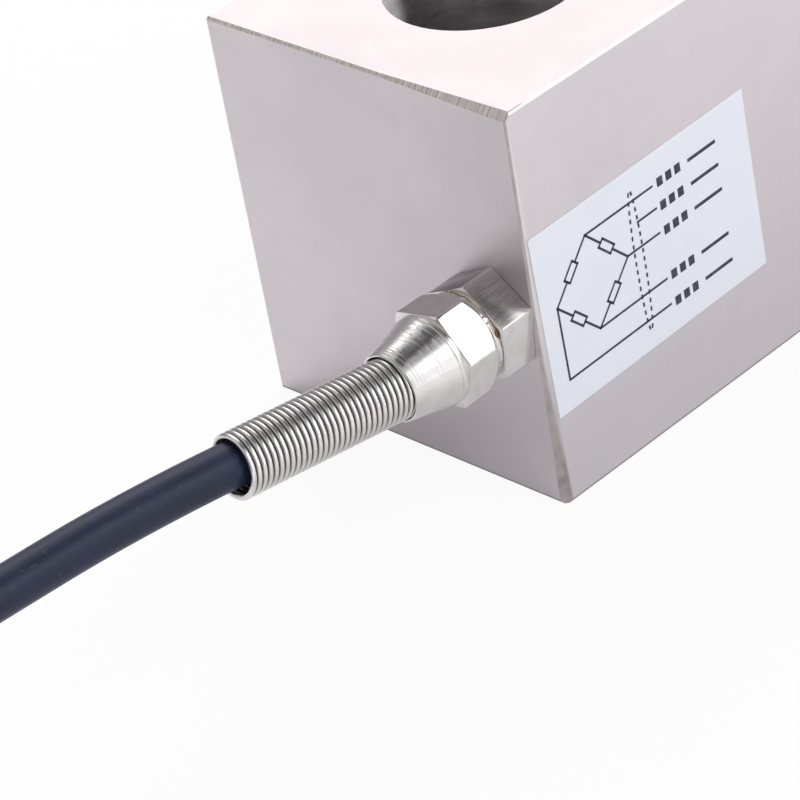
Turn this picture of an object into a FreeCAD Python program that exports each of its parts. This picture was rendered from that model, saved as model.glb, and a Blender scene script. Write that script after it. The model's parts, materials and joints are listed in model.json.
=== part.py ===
import FreeCAD, Part
import math
import os

from FreeCAD import Placement, Rotation, Vector

# Shear-beam load cell with its cable. Millimetres, +Z up.
# The origin is in the middle of the beam's underside and +X runs away from the cable end.
# inward is measured along the beam from the cable end face, outward the other way,
# side across the beam from the labelled near face, and height up from the underside.

# Beam
beam_length = 222.0
beam_width = 50.0
beam_height = 54.0
edge_break = 0.35
end_bevel = 1.0             # hand-ground bevel of the top end edge, at the near corner
end_bevel_run = 20.0        # length over which it narrows to the plain edge break
corner_bevel = 1.1          # hand-ground bevel of the near upright edge, at the underside

# Holes down through the beam
fixing_hole_d = 25.0
fixing_hole_inset = 23.2
fixing_hole_pitch = 50.8
load_hole_d = 25.0
load_hole_inset = 25.0

# Gauge pockets, milled from both sides down to a thin shear web
web = 12.0
pocket_d = 30.0
cover_ledge = 3.0
cover_seat_depth = 1.6
cover_t = 1.2
cover_dish_d = 24.0
cover_dish_depth = 0.4
cover_clearance = 0.15

# Wire ways
gland_inset = 6.9
gland_drop = 1.9            # gland axis below mid height
port_d = 8.0
port_depth = 10.0
channel_d = 5.0
cross_hole_d = 3.6
cross_hole_wall = 2.7       # from the cross hole to the pocket's wall
cross_hole_angle = 30.0

# Gauges and bridge board
gauge_length = 10.0
gauge_height = 8.0
gauge_t = 0.2
coating_t = 4.0
coating_clearance = 0.3
board_clearance = 2.5
board_t = 1.2
resistor_length = 6.0
resistor_width = 2.4
resistor_t = 1.6
resistor_pitch = 5.0
resistor_rise = 6.0         # resistor centres above mid height
pin_d = 0.6
pin_inset = 1.5             # from the gauge's edges
lead_d = 0.9
lead_gap = 0.4
lead_rise = 3.0             # how far the far leads loop over the coating

# Cable and cores
cable_d = 5.5
cable_length = 3000.0
core_d = 1.1
core_count = 5
core_circle_d = 2.8
core_first_angle = 18.0
core_clearance = 0.35
pad_pitch = 2.2
pad_start = -7.5            # first solder pad, along the beam from the pocket's middle
jacket_start = 1.0          # outward place where the jacket ends inside the gland

# Gland
thread_clearance = 0.05
cable_clearance = 0.2
seal_clearance = 0.05
spigot_wall = 1.95
spigot_length = 4.5
body_hex_length = 5.1
body_turn = 35.5
nut_gap = 0.4
nut_wall = 1.05
nut_hex_length = 5.6
nut_chamfer = 1.1
nut_turn = 48.2
collar_length = 0.7
cone_length = 6.3
nose_lip = 0.25
nose_clearance = 0.15
mouth_offset = 0.4          # where the spring starts to lean, beyond the nose
seal_length = 3.6
washer_t = 0.6
washer_clearance = 0.05

# Strain-relief spring
wire_d = 0.8
spring_clearance = 0.45
spring_reach = 23.2         # beyond the nose
seat_turns = 3              # wider turns that sit on the washer
seat_step = 0.3             # how much wider
groove_share = 0.4          # depth of the groove between turns, of the wire

# Wiring label
label_length = 38.3
label_height = 25.0
label_t = 0.12
label_inward = 19.8
label_level = 25.2
label_tilt = 1.4

# Stored hank of the cable, two lanes wide and wound down from the top
hank_layers = 6
hank_start = 105.75         # outward place of the folds next to the beam
hank_side = 9.0             # side place of the near outer lane
fold_diameters = 3.0        # bend radius of the inner lane at the folds, in cable diameters
lane_inset = 0.2            # how far the cable's ends lie inside their lanes
tie_t = 0.8
tie_width = 6.0
tie_clearance = 0.2
floor_clearance = 0.1
tail_length = 20.0          # free end beyond the hank
stripped_length = 24.0
stripped_spacing = 1.5
tinned_length = 6.0
tinned_d = 0.7
strand_sides = 6

# Cable route after the gland, as outward, side and height, to where it runs onto its hank
route_tail = [
    (53.0, 9.55, 28.5),
    (79.0, 10.7, 30.0),
    (99.0, 10.4, 31.0),
]
route_end = 118.0
arc_share = 0.45            # of the shorter run beside a corner, taken up by its arc

# Places that follow from the sizes above
mid_height = beam_height / 2
gland_height = mid_height - gland_drop
load_hole_inward = beam_length - load_hole_inset
inner_fixing_inward = fixing_hole_inset + fixing_hole_pitch
pocket_inward = (inner_fixing_inward + load_hole_inward) / 2
web_near = (beam_width - web) / 2
web_far = (beam_width + web) / 2
pocket_r = pocket_d / 2
cover_seat_r = pocket_r + cover_ledge
cover_dish_r = cover_dish_d / 2
cross_hole_offset = pocket_r - cross_hole_wall - cross_hole_d / 2
cross_hole_inward = pocket_inward + cross_hole_offset * math.cos(math.radians(cross_hole_angle))
cross_hole_height = mid_height + cross_hole_offset * math.sin(math.radians(cross_hole_angle))
board_back = web_near - coating_t
board_face = board_back - board_t

cable_r = cable_d / 2
core_bore_r = (core_circle_d + core_d) / 2 + core_clearance
cable_bore_r = cable_r + cable_clearance
spigot_r = cable_bore_r + spigot_wall
chamber_r = spigot_r + thread_clearance * 2
hex_across_flats = 2 * (chamber_r + nut_wall)
hex_corner_r = hex_across_flats / math.sqrt(3)
nut_back = body_hex_length + nut_gap
nut_front = nut_back + nut_hex_length
cone_start = nut_front + collar_length
nose = cone_start + cone_length
spigot_end = body_hex_length + spigot_length
seal_end = spigot_end + seal_length
washer_end = seal_end + washer_t
spring_in_r = cable_r + spring_clearance
spring_out_r = spring_in_r + wire_d
nose_bore_r = spring_out_r + nose_clearance
nose_r = nose_bore_r + nose_lip

inner_fold_r = fold_diameters * cable_d
outer_fold_r = inner_fold_r + cable_d
hank_mid_side = hank_side + outer_fold_r
hank_bottom = floor_clearance + tie_t + tie_clearance
hank_top = hank_bottom + hank_layers * cable_d

along_x = Vector(1, 0, 0)
along_y = Vector(0, 1, 0)
along_z = Vector(0, 0, 1)


def place(inward, side, height):
    return Vector(inward - beam_length / 2, side - beam_width / 2, height)


def gland_point(outward):
    return place(-outward, gland_inset, gland_height)


def closed_face(points):
    return Part.Face(Part.makePolygon(points + points[:1]))


def turned(*profile):
    """Solid turned about the gland axis from (outward, radius) points."""
    points = [gland_point(outward) + along_z * radius for outward, radius in profile]
    return closed_face(points).revolve(gland_point(0), along_x, 360)


def hexagon(outward, length, turn):
    """Hexagon bar on the gland axis, growing outward."""
    angles = [math.radians(turn + 60 * step) for step in range(6)]
    centre = gland_point(outward)
    corners = [centre + Vector(0, math.cos(a), math.sin(a)) * hex_corner_r for a in angles]
    return closed_face(corners).extrude(along_x * -length)


def bevel_wedge(start, end, leg_a, leg_b, size_start, size_end):
    """Wedge that cuts a bevel of changing size along a square edge."""
    sections = []
    for corner, size in ((start, size_start), (end, size_end)):
        spare = size
        first = corner + leg_a * (size + spare) - leg_b * spare
        second = corner + leg_b * (size + spare) - leg_a * spare
        outside = corner - (leg_a + leg_b) * spare
        sections.append(Part.makePolygon([first, second, outside, first]))
    return Part.makeLoft(sections, True, True)


def rounded_path(points):
    """Straight runs joined by the largest tangent arcs that the runs allow."""
    edges = []
    radii = []
    start = points[0]
    for before, corner, after in zip(points, points[1:], points[2:]):
        run_in = corner - before
        run_out = after - corner
        turn = run_in.getAngle(run_out)
        setback = arc_share * min(run_in.Length, run_out.Length)
        radius = setback / math.tan(turn / 2)
        ahead = Vector(run_out).normalize()
        behind = Vector(run_in).normalize()
        inside = (ahead - behind).normalize()
        arc_start = corner - behind * setback
        arc_middle = corner + inside * (radius / math.cos(turn / 2) - radius)
        arc_end = corner + ahead * setback
        edges.append(Part.LineSegment(start, arc_start).toShape())
        edges.append(Part.Arc(arc_start, arc_middle, arc_end).toShape())
        radii.append(radius)
        start = arc_end
    edges.append(Part.LineSegment(start, points[-1]).toShape())
    return Part.Wire(edges), radii


def tube(points, diameter):
    """Round tube along a rounded path, with its radii and its volume against section times length."""
    path, radii = rounded_path(points)
    ring = Part.makeCircle(diameter / 2, points[0], points[1] - points[0])
    solid = path.makePipeShell([Part.Wire([ring])], True, False)
    expected = math.pi * diameter ** 2 / 4 * path.Length
    return solid, path, radii, solid.Volume / expected


def strand(points, diameter):
    """Thin six-sided wire along a rounded path."""
    path = rounded_path(points)[0]
    heading = Vector(points[1] - points[0]).normalize()
    ring = Part.makeCircle(diameter / 2, points[0], heading)
    corners = ring.discretize(strand_sides + 1)
    return path.makePipeShell([Part.makePolygon(corners)], True, False)


def cable_points():
    """Corners of the cable's route from inside the gland to where it lies on top of its hank."""
    points = [gland_point(jacket_start), gland_point(nose + mouth_offset)]
    points += [place(-outward, side, height) for outward, side, height in route_tail]
    return points + [place(-route_end, hank_side + lane_inset, hank_top - cable_r - lane_inset)]


cable_run, cable_path, cable_radii, cable_ratio = tube(cable_points(), cable_d)
spring_axis = (cable_points()[2] - cable_points()[1]).normalize()
spring_lean = spring_axis.getAngle(-along_x)

# Each layer has three runs and three folds; the runs take what is left of the cable's length
hank_runs = 3 * hank_layers
inner_folds = hank_runs // 2
fold_length = math.pi * (inner_folds * inner_fold_r + (inner_folds - 1) * outer_fold_r)
first_run_cut = route_end - hank_start
hank_run = (cable_length - cable_path.Length + first_run_cut - fold_length - tail_length) / hank_runs


def hank_point(outward, across, height):
    """Place on the hank, outward from the folds next to the beam and across from its middle."""
    return place(-hank_start - outward, hank_mid_side + across, height)


def hank_section(outward, sign, gap):
    """Section of the wound lanes with cut corners, grown by a gap; sign is -1 on the near side."""
    inner = inner_fold_r - cable_r - gap
    outer = outer_fold_r + cable_r + gap
    low = hank_bottom - gap
    high = hank_top + gap
    cut = (cable_r + gap) * (2 - math.sqrt(2))
    corners = [
        (inner + cut, low), (outer - cut, low), (outer, low + cut), (outer, high - cut),
        (outer - cut, high), (inner + cut, high), (inner, high - cut), (inner, low + cut),
    ]
    return closed_face([hank_point(outward, sign * across, height) for across, height in corners])


def beam_body():
    size = Part.makeBox(beam_length, beam_width, beam_height, place(0, 0, 0))
    body = size.makeChamfer(edge_break, size.Edges)
    top_corner = place(0, 0, beam_height)
    body = body.cut(bevel_wedge(
        top_corner, place(0, end_bevel_run, beam_height), along_x, -along_z, end_bevel, edge_break))
    body = body.cut(bevel_wedge(
        place(0, 0, 0), top_corner, along_x, along_y, corner_bevel, edge_break))
    for inward, diameter in (
        (fixing_hole_inset, fixing_hole_d),
        (inner_fixing_inward, fixing_hole_d),
        (load_hole_inward, load_hole_d),
    ):
        body = body.cut(Part.makeCylinder(diameter / 2, beam_height, place(inward, beam_width / 2, 0)))
    for side, depth, inwards in ((0, web_near, along_y), (beam_width, beam_width - web_far, -along_y)):
        middle = place(pocket_inward, side, mid_height)
        body = body.cut(Part.makeCylinder(pocket_r, depth, middle, inwards))
        body = body.cut(Part.makeCylinder(cover_seat_r, cover_seat_depth, middle, inwards))
    body = body.cut(Part.makeCylinder(port_d / 2, port_depth, gland_point(0), along_x))
    body = body.cut(Part.makeCylinder(channel_d / 2, pocket_inward, gland_point(0), along_x))
    cross_start = place(cross_hole_inward, web_near, cross_hole_height)
    return body.cut(Part.makeCylinder(cross_hole_d / 2, web, cross_start, along_y))


def pocket_cover(side, inwards):
    """Pressed cover with a shallow dish, seated on its ledge."""
    seat = place(pocket_inward, side, mid_height) + inwards * cover_seat_depth
    disc = Part.makeCylinder(cover_seat_r - cover_clearance, cover_t, seat, -inwards)
    dish_floor = seat - inwards * (cover_t - cover_dish_depth)
    return disc.cut(Part.makeCylinder(cover_dish_r, cover_dish_depth, dish_floor, -inwards))


def gauge(side, outwards):
    """Foil gauge on its backing film, bonded to one side of the web."""
    low = place(pocket_inward - gauge_length / 2, side, mid_height - gauge_height / 2)
    sheet = closed_face([
        low,
        low + along_x * gauge_length,
        low + along_x * gauge_length + along_z * gauge_height,
        low + along_z * gauge_height,
    ])
    return sheet.extrude(outwards * gauge_t)


def near_pin_places():
    reach_x = gauge_length / 2 - pin_inset
    reach_z = gauge_height / 2 - pin_inset
    return [(x, z) for x in (-reach_x, reach_x) for z in (-reach_z, reach_z)]


def near_gauge_pins():
    start_side = web_near - gauge_t
    pins = []
    for x, z in near_pin_places():
        start = place(pocket_inward + x, start_side, mid_height + z)
        pins.append(Part.makeCylinder(pin_d / 2, start_side - board_back, start, -along_y))
    return pins


def far_lead_routes():
    """Routes of the two far leads: up from the gauge, over to the cross hole and back through it."""
    loop_side = web_far + coating_t + lead_rise
    step = (lead_d + lead_gap) / 2
    routes = []
    for sign in (1, -1):
        pad_inward = pocket_inward + gauge_length / 2 - pin_inset
        pad_height = mid_height + sign * (gauge_height / 2 - pin_inset)
        hole_inward = cross_hole_inward - sign * step
        hole_height = cross_hole_height + sign * step
        routes.append([
            place(pad_inward, web_far + gauge_t, pad_height),
            place(pad_inward, loop_side, pad_height),
            place(hole_inward, loop_side, hole_height),
            place(hole_inward, board_back, hole_height),
        ])
    return routes


def coating(side, outwards, openings):
    """Soft silicone over a gauge, with ways for the leads."""
    middle = place(pocket_inward, side, mid_height)
    layer = Part.makeCylinder(pocket_r - coating_clearance, coating_t, middle, outwards)
    cross = place(cross_hole_inward, side, cross_hole_height)
    layer = layer.cut(Part.makeCylinder(cross_hole_d / 2, coating_t, cross, outwards))
    for x, z, diameter in openings:
        start = place(pocket_inward + x, side, mid_height + z)
        layer = layer.cut(Part.makeCylinder(diameter / 2, coating_t, start, outwards))
    return layer.cut(gauge(side, outwards))


def near_coating():
    return coating(web_near, -along_y, [(x, z, pin_d) for x, z in near_pin_places()])


def far_coating():
    pad_x = gauge_length / 2 - pin_inset
    pad_z = gauge_height / 2 - pin_inset
    return coating(web_far, along_y, [(pad_x, z, lead_d + 2 * lead_gap) for z in (-pad_z, pad_z)])


def bridge_board():
    return Part.makeCylinder(
        pocket_r - board_clearance, board_t, place(pocket_inward, board_back, mid_height), -along_y)


def trim_resistors():
    bodies = []
    for step in (-1, 0, 1):
        low = place(
            pocket_inward + step * resistor_pitch - resistor_width / 2,
            board_face - resistor_t,
            mid_height + resistor_rise - resistor_length / 2)
        bodies.append(Part.makeBox(resistor_width, resistor_t, resistor_length, low))
    return bodies


def core_places():
    """Places of the five cores round the cable's axis, the one nearest the board first."""
    step = 360 / core_count
    angles = [math.radians(core_first_angle + step * index) for index in range(core_count)]
    places = [(core_circle_d / 2 * math.cos(a), core_circle_d / 2 * math.sin(a)) for a in angles]
    return sorted(places, reverse=True)


def inner_core(index, across, up):
    """Core from the end of the jacket along the wire channel, then down to its pad on the board."""
    pad = pocket_inward + pad_start + index * pad_pitch
    start = gland_point(jacket_start) + Vector(0, across, up)
    bend = place(pad, gland_inset + across, gland_height + up)
    return strand([start, bend, place(pad, board_face, gland_height + up)], core_d)


def gland_body():
    spigot = turned(
        (-port_depth, 0), (-port_depth, port_d / 2 - thread_clearance), (0, port_d / 2 - thread_clearance),
        (0, spigot_r), (spigot_end, spigot_r), (spigot_end, 0))
    bore = turned(
        (-port_depth, 0), (-port_depth, core_bore_r), (jacket_start, core_bore_r),
        (jacket_start, cable_bore_r), (spigot_end, cable_bore_r), (spigot_end, 0))
    return hexagon(0, body_hex_length, body_turn).fuse(spigot).cut(bore).removeSplitter()


def gland_nut():
    """Cap nut: a hexagon bar with its back edge turned to a cone, a collar and a long cone to the nose."""
    flat_r = hex_across_flats / 2
    envelope = turned(
        (nut_back, 0), (nut_back, flat_r), (nut_back + nut_chamfer, hex_corner_r),
        (nut_front, hex_corner_r), (nut_front, 0))
    cone = turned((nut_front, 0), (nut_front, flat_r), (cone_start, flat_r), (nose, nose_r), (nose, 0))
    seat_r = nose_bore_r + (nose + mouth_offset - washer_end) * math.tan(spring_lean)
    bore = turned(
        (nut_back, 0), (nut_back, chamber_r), (washer_end, chamber_r),
        (washer_end, seat_r), (nose, nose_bore_r), (nose, 0))
    return hexagon(nut_back, nut_hex_length, nut_turn).common(envelope).fuse(cone).cut(bore).removeSplitter()


def thread_sealant():
    middle_r = (chamber_r + hex_across_flats / 2) / 2
    return turned(
        (body_hex_length, chamber_r), (body_hex_length, middle_r),
        (nut_back, middle_r), (nut_back, chamber_r))


def gland_ring(start, end, inner_r):
    outer_r = chamber_r - washer_clearance
    return turned((start, inner_r), (start, outer_r), (end, outer_r), (end, inner_r))


def relief_spring():
    """Close-wound spring as one turned sleeve, a ridge for each turn of wire, on a wider seat."""
    seat_end = washer_end + seat_turns * wire_d
    seat_r = spring_out_r + seat_step
    depth = nose + mouth_offset - seat_end + spring_out_r * math.sin(spring_lean)
    turns = int((depth + spring_reach) / wire_d)
    bottom = spring_reach - turns * wire_d
    root_r = spring_out_r - groove_share * wire_d
    profile = [(spring_in_r, bottom), (root_r, bottom)]
    for turn in range(turns):
        profile.append((spring_out_r, bottom + (turn + 0.5) * wire_d))
        profile.append((root_r, bottom + (turn + 1) * wire_d))
    profile.append((spring_in_r, spring_reach))
    points = [Vector(radius, 0, rise) for radius, rise in profile]
    sleeve = closed_face(points).revolve(Vector(0, 0, 0), along_z, 360)
    sleeve.Placement = Placement(gland_point(nose + mouth_offset), Rotation(along_z, spring_axis))
    seat = turned(
        (washer_end, spring_in_r), (washer_end, seat_r), (seat_end, seat_r), (seat_end, spring_in_r))
    return seat.fuse(sleeve)


def wiring_label():
    centre = place(label_inward, 0, label_level)
    corner = centre + Vector(-label_length / 2, -label_t, -label_height / 2)
    film = Part.makeBox(label_length, label_t, label_height, corner)
    film.rotate(centre, along_y, -label_tilt)
    return film


def tail_end():
    """End of the jacket, on the floor beside the hank."""
    return hank_point(-tail_length, outer_fold_r - lane_inset, hank_bottom + cable_r + lane_inset)


def cable_hank():
    """Outer shape of the wound cable, a long ring with cut corners, and its free end."""
    far = hank_section(0, 1, 0)
    near_runs = hank_section(0, -1, 0).extrude(-along_x * hank_run)
    far_runs = far.extrude(-along_x * hank_run)
    inward_folds = far.revolve(hank_point(0, 0, 0), along_z, -180)
    outward_folds = hank_section(hank_run, 1, 0).revolve(hank_point(hank_run, 0, 0), along_z, 180)
    tail = Part.makeCylinder(cable_r, tail_length + cable_r, tail_end(), -along_x)
    return near_runs.multiFuse([far_runs, inward_folds, outward_folds, tail]).removeSplitter()


def hank_tie():
    """Strap round the near runs, halfway along."""
    start = (hank_run - tie_width) / 2
    strap = hank_section(start, -1, tie_clearance + tie_t).cut(hank_section(start, -1, tie_clearance))
    return strap.Faces[0].extrude(-along_x * tie_width)


def stripped_cores(hank):
    """Five cores that leave the cable's end and lie side by side on the floor, with their tips."""
    end = tail_end()
    rest_height = floor_clearance + core_d / 2
    cores = []
    tips = []
    for index, (across, up) in enumerate(core_places()):
        aside = stripped_spacing * ((core_count - 1) / 2 - index)
        start_height = end.z + up
        line = [
            (-core_d, across, start_height),
            (stripped_length / 5, across, start_height - core_d / 2),
            (stripped_length / 2, (across + aside) / 2, (start_height + rest_height) / 2),
            (stripped_length * 3 / 4, aside, rest_height + core_d / 8),
            (stripped_length, aside, rest_height),
        ]
        points = [Vector(end.x + along, end.y + shift, height) for along, shift, height in line]
        cores.append(strand(points, core_d).cut(hank))
        tip = points[-1] + (points[-1] - points[-2]).normalize() * tinned_length
        tips.append(strand([points[-1], tip], tinned_d))
    return cores, tips


print("cable radii", [round(r, 1) for r in cable_radii], "volume ratio", round(cable_ratio, 5))
print("route length", round(cable_path.Length, 2), "hank run", round(hank_run, 3))
hank = cable_hank()
ends, tips = stripped_cores(hank)
core_names = ["red", "black", "green", "white", "shield"]

parts = {
    "beam_body": [beam_body()],
    "near_cover": [pocket_cover(0, along_y)],
    "far_cover": [pocket_cover(beam_width, -along_y)],
    "near_gauge": [gauge(web_near, -along_y)],
    "far_gauge": [gauge(web_far, along_y)],
    "near_coating": [near_coating()],
    "far_coating": [far_coating()],
    "near_gauge_pins": near_gauge_pins(),
    "far_gauge_leads": [strand(route, lead_d) for route in far_lead_routes()],
    "bridge_board": [bridge_board()],
    "trim_resistors": trim_resistors(),
    "gland_body": [gland_body()],
    "thread_sealant": [thread_sealant()],
    "gland_nut": [gland_nut()],
    "gland_seal": [gland_ring(spigot_end, seal_end, cable_r + seal_clearance)],
    "gland_washer": [gland_ring(seal_end, washer_end, cable_bore_r)],
    "relief_spring": [relief_spring()],
    "wiring_label": [wiring_label()],
    "cable_run": [cable_run.cut(hank)],
    "cable_hank": [hank],
    "hank_tie": [hank_tie()],
    "tinned_ends": tips,
}
for index, name in enumerate(core_names):
    across, up = core_places()[index]
    parts["core_" + name] = [inner_core(index, across, up)]
    parts["end_" + name] = [ends[index]]

os.makedirs("parts", exist_ok=True)
for name, solids in parts.items():
    shape = solids[0] if len(solids) == 1 else Part.makeCompound(solids)
    shape.exportStep("parts/" + name + ".step")
    print(name, len(shape.Solids), "valid" if shape.isValid() else "NOT VALID", round(shape.Volume, 1))
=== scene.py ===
import json
import math

import bmesh
import bpy
from mathutils import Matrix, Vector, noise


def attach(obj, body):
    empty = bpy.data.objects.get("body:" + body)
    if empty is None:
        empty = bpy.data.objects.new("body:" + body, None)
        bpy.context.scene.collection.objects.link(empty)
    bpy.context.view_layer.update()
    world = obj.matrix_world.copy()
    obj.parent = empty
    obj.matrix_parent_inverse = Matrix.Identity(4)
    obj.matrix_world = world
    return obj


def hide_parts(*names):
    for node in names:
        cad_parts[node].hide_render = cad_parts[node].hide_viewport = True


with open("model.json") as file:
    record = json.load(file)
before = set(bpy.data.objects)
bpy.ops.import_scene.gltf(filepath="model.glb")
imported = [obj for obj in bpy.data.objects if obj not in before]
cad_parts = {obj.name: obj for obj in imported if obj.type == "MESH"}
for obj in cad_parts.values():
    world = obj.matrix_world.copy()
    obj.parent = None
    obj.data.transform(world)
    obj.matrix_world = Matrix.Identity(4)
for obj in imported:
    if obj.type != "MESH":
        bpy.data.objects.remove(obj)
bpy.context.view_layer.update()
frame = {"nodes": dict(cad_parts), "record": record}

bl_info = {
    "name": "Shear beam load cell",
    "version": (1, 0, 0),
    "blender": (4, 5, 0),
    "location": "View3D > Sidebar > Load cell",
    "description": "Finishes, relief spring, cable, wiring label and studio for a shear beam load cell",
    "category": "Object",
}

MM = 0.001

# Beam, in millimetres: its cable end, top, the middles of its three holes along it, and their radius.
END_FACE, BEAM_TOP = -111.0, 54.0
HOLES, HOLE_R = (-87.8, -37.0, 86.0), 12.5
# Middle of both pocket covers, as the beam's side shows them.
COVER_MIDDLE = Vector((24.5, 0.0, 27.0)) * MM

# Gland, in millimetres: its axis across and up, and the cap nut's stations outward from the end face.
GLAND_Y, GLAND_Z = -18.1, 25.1
NUT_BACK, SHOULDER, NUT_FRONT, COLLAR_END, SEAT, NOSE = 5.2, 5.93, 11.1, 11.8, 13.8, 18.1
# Radii of the nut's shoulder, collar, cone at both ends, mouth, seat and bore.
SHOULDER_R, COLLAR_R, CONE_R, NOSE_R, MOUTH_R, SEAT_R, BORE_R = 5.98, 5.92, 5.99, 4.40, 4.2, 4.737, 5.0
# Groove between the hexagons, from its back to its front, and the bead of sealant in it.
GROOVE_BACK, GROOVE_FRONT = 5.08, 5.19
BEAD_INNER_R, BEAD_OUTER_R = 5.02, 5.84
# Hexagons: half width across flats, then the angle of one corner of the body and of the nut.
HEX_FLAT, BODY_TURN, NUT_TURN = 6.05, 35.5, 48.2
POINTS_AROUND = 300

# Relief spring: mouth of the nut, the way the spring leans, and its reach along that in millimetres.
SPRING_MOUTH = Vector((-129.5, GLAND_Y, GLAND_Z)) * MM
SPRING_AXIS = Vector((-0.99229, 0.07622, 0.09779)).normalized()
SPRING_START, SPRING_REACH = -2.4, 23.5
# Its wider turns inside the nut: where they start along the beam, and their number.
SEAT_START, SEAT_TURNS = END_FACE - SEAT, 3


def slot_colour(slot):
    """Base colour that the record gives to a material slot."""
    return tuple(next(m["base_color"] for m in frame["record"]["materials"] if m["slot"] == slot))


def length(name, description, millimetres):
    return bpy.props.FloatProperty(
        name=name, description=description, default=millimetres * MM, min=0.0, precision=5, unit="LENGTH")


def colour(name, description, default):
    return bpy.props.FloatVectorProperty(
        name=name, description=description, default=default, size=3, min=0.0, max=1.0, subtype="COLOR")


class LoadCellSizes(bpy.types.PropertyGroup):
    """Sizes of the pieces that are made here."""

    edge_ease: length("Gland edge", "Width of the eased edges on the gland's hexagons", 0.12)
    wire: length("Spring wire", "Diameter of the relief spring's wire", 0.70)
    pitch: length("Spring pitch", "Rise of the spring in one turn", 0.80)
    spring_mean_r: length("Spring radius", "Radius to the middle of the spring's wire", 3.65)
    seat_mean_r: length("Seat radius", "Radius to the middle of the wire in the wider seat turns", 3.95)
    cable: length("Cable diameter", "Outside diameter of the cable's jacket", 5.5)
    cable_length: length("Cable length", "Whole length of the cable", 3000.0)
    core: length("Core diameter", "Diameter of one insulated core", 1.1)
    tip: length("Tip diameter", "Diameter of a tinned core end", 0.7)
    tip_length: length("Tip length", "Length of a tinned core end", 6.0)
    print_line: length("Print line", "Width of the label's drawn lines", 0.31)
    print_height: length("Print rise", "Height of the ink over the film", 0.012)


class LoadCellColours(bpy.types.PropertyGroup):
    """Base colours of the finishes."""

    beam: colour("Beam", "Satin plated steel", (0.763, 0.714, 0.748))
    cover: colour("Covers", "Pressed stainless sheet", slot_colour("cover_steel"))
    gland: colour("Gland", "Bright plated gland", slot_colour("gland_metal"))
    spring: colour("Spring", "Drawn spring wire", slot_colour("spring_steel"))
    jacket: colour("Jacket", "Cable jacket", (0.012, 0.018, 0.046))
    film: colour("Label film", "Printed film", (0.87, 0.905, 0.97))
    ink: colour("Label ink", "Printed lines and blocks", (0.018, 0.024, 0.045))
    sealant: colour("Sealant", "Thread sealing compound", slot_colour("thread_sealant"))
    floor: colour("Floor", "Studio floor", (0.86, 0.86, 0.86))


class Value:
    """One output of a shader node. Arithmetic on it adds Math nodes."""

    def __init__(self, finish, socket):
        self.finish = finish
        self.socket = socket

    def __add__(self, other):
        return self.finish.math("ADD", self, other)

    def __radd__(self, other):
        return self.finish.math("ADD", other, self)

    def __sub__(self, other):
        return self.finish.math("SUBTRACT", self, other)

    def __rsub__(self, other):
        return self.finish.math("SUBTRACT", other, self)

    def __mul__(self, other):
        return self.finish.math("MULTIPLY", self, other)

    def __rmul__(self, other):
        return self.finish.math("MULTIPLY", other, self)

    def __abs__(self):
        return self.finish.math("ABSOLUTE", self)


class Finish:
    """A node tree in the making, for a material or the world."""

    def __init__(self, owner):
        owner.use_nodes = True
        self.owner = owner
        self.tree = owner.node_tree
        self.tree.nodes.clear()

    def node(self, kind, settings=None, sockets=None, output=0):
        """Adds a node, its settings first, then its socket values or links."""
        node = self.tree.nodes.new(kind)
        for key, value in (settings or {}).items():
            setattr(node, key, value)
        for key, value in (sockets or {}).items():
            if isinstance(value, Value):
                self.tree.links.new(value.socket, node.inputs[key])
            else:
                node.inputs[key].default_value = value
        return Value(self, node.outputs[output]) if node.outputs else node

    def math(self, operation, *terms):
        return self.node("ShaderNodeMath", {"operation": operation}, dict(enumerate(terms)))

    def place(self):
        return self.node("ShaderNodeTexCoord", output="Object")

    def facing(self):
        return self.node("ShaderNodeTexCoord", output="Normal")

    def axes(self, vector):
        split = self.node("ShaderNodeSeparateXYZ", None, {0: vector}).socket.node
        return [Value(self, socket) for socket in split.outputs]

    def vector(self, operation, *terms, output=0):
        return self.node("ShaderNodeVectorMath", {"operation": operation}, dict(enumerate(terms)), output)

    def noise(self, place, scale, detail=2.0, roughness=0.5):
        return self.node(
            "ShaderNodeTexNoise", None,
            {"Vector": place, "Scale": scale, "Detail": detail, "Roughness": roughness})

    def ticks(self, along, scale, detail=2.0):
        return self.node(
            "ShaderNodeTexNoise", {"noise_dimensions": "1D"}, {"W": along, "Scale": scale, "Detail": detail})

    def step(self, value, low, high):
        """Soft step from 0 at low to 1 at high."""
        return self.node(
            "ShaderNodeMapRange", {"interpolation_type": "SMOOTHSTEP"},
            {"Value": value, "From Min": low, "From Max": high})

    def between(self, value, low, high, soft):
        return self.step(value, low - soft, low) * (1 - self.step(value, high, high + soft))

    def mix(self, share, first, second):
        """Blend of two colours."""
        sides = {0: share}
        for index, side in ((6, first), (7, second)):
            sides[index] = side if isinstance(side, Value) else (*side, 1.0)
        return self.node("ShaderNodeMix", {"data_type": "RGBA"}, sides, 2)

    def bump(self, height, distance):
        return self.node("ShaderNodeBump", None, {"Height": height, "Distance": distance})

    def surface(self, **sockets):
        """Principled surface; socket names with underscores for spaces."""
        named = {key.replace("_", " "): value for key, value in sockets.items()}
        shader = self.node("ShaderNodeBsdfPrincipled", None, named)
        self.node("ShaderNodeOutputMaterial", None, {"Surface": shader})
        return self.owner


def material(name):
    return Finish(bpy.data.materials.new(name))


def shade(tint, factor):
    return tuple(min(1.0, part * factor) for part in tint)


def graded(tint, red, green, blue):
    """Colour with a factor for each of its channels."""
    return (tint[0] * red, tint[1] * green, tint[2] * blue)


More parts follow.
